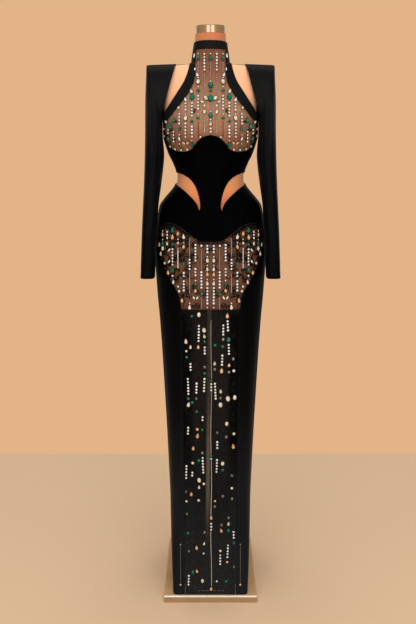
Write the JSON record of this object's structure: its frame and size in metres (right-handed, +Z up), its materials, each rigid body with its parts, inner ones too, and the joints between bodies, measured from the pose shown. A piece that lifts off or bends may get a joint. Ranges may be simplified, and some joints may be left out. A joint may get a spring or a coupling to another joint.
{
  "type": "crepe evening dress on a limbless dress form with a stand",
  "caption": "Long-sleeved floor-length crepe evening dress with a sheer beaded front and waist cutouts, worn on a limbless form that stands on a pole and a base plate.",
  "frame": {"origin": "centre of the base plate's underside, on the floor", "axes": "+Z up, the dress faces -Y, +X is the wearer's left"},
  "size_m": [0.421, 0.4, 1.7225],
  "materials": {
    "crepe": "matt black crepe",
    "mesh": "sheer black mesh with beads and lace",
    "form_cloth": "smooth stretched nude cloth",
    "cap": "brushed",
    "pole": "satin bronze",
    "plate": "satin sand",
    "stones": "cut stones and beads",
    "lace": "black embroidery thread"
  },
  "bodies": {
    "root": {"back_left": "crepe", "back_right": "crepe", "base_plate": "plate", "bib": "mesh", "bodice_front": "crepe", "bodice_side_left": "crepe", "bodice_side_right": "crepe", "collar": "crepe", "form": "form_cloth", "front_panel": "mesh", "neck_cap": "cap", "pole": "pole", "skirt_back_left": "crepe", "skirt_back_right": "crepe", "skirt_side_left": "crepe", "skirt_side_right": "crepe", "sleeve_left": "crepe", "sleeve_right": "crepe", "trim_left": "crepe", "trim_right": "crepe", "yoke": "crepe"}
  },
  "joints": []
}
